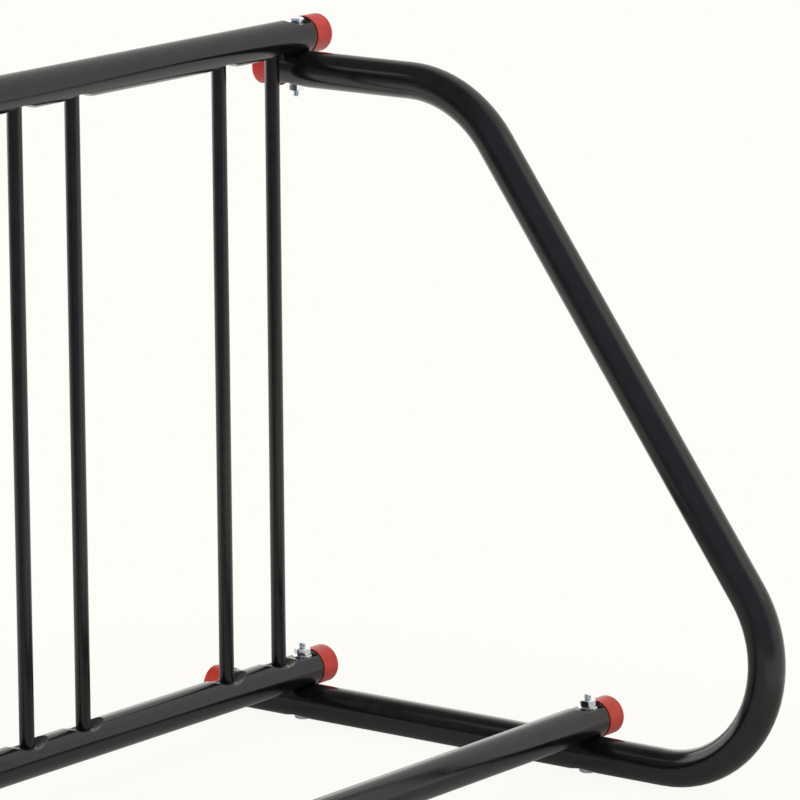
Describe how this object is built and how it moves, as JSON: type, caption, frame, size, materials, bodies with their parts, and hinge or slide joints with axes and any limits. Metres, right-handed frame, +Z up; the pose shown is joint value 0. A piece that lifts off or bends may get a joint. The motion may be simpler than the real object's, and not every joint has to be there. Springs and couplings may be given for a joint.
{
  "type": "bicycle rack",
  "caption": "Low grid bicycle rack: upright bars in close pairs between two tubular rails, with bent tube hoops at both ends and a front rail.",
  "frame": {"origin": "middle of the rack's outer box, on the floor", "axes": "+X along the rails, +Y from the front rail to the grid, +Z up"},
  "size_m": [1.6906, 0.8093, 0.8315],
  "materials": {
    "black_powder_coat": "semi-gloss black powder coat",
    "red_vinyl": "satin red dipped vinyl",
    "zinc_plated_steel": "bright zinc plating"
  },
  "bodies": {
    "root": {"bolts": "zinc_plated_steel", "bottom_rail": "black_powder_coat", "bottom_rail_left_cap": "red_vinyl", "bottom_rail_right_cap": "red_vinyl", "front_rail": "black_powder_coat", "front_rail_left_cap": "red_vinyl", "front_rail_right_cap": "red_vinyl", "left_hoop": "black_powder_coat", "left_hoop_lower_cap": "red_vinyl", "left_hoop_upper_cap": "red_vinyl", "nuts": "zinc_plated_steel", "right_hoop": "black_powder_coat", "right_hoop_lower_cap": "red_vinyl", "right_hoop_upper_cap": "red_vinyl", "top_rail": "black_powder_coat", "top_rail_left_cap": "red_vinyl", "top_rail_right_cap": "red_vinyl", "upright_bar_01": "black_powder_coat", "upright_bar_02": "black_powder_coat", "upright_bar_03": "black_powder_coat", "upright_bar_04": "black_powder_coat", "upright_bar_05": "black_powder_coat", "upright_bar_06": "black_powder_coat", "upright_bar_07": "black_powder_coat", "upright_bar_08": "black_powder_coat", "upright_bar_09": "black_powder_coat", "upright_bar_10": "black_powder_coat", "washers": "zinc_plated_steel"}
  },
  "joints": []
}
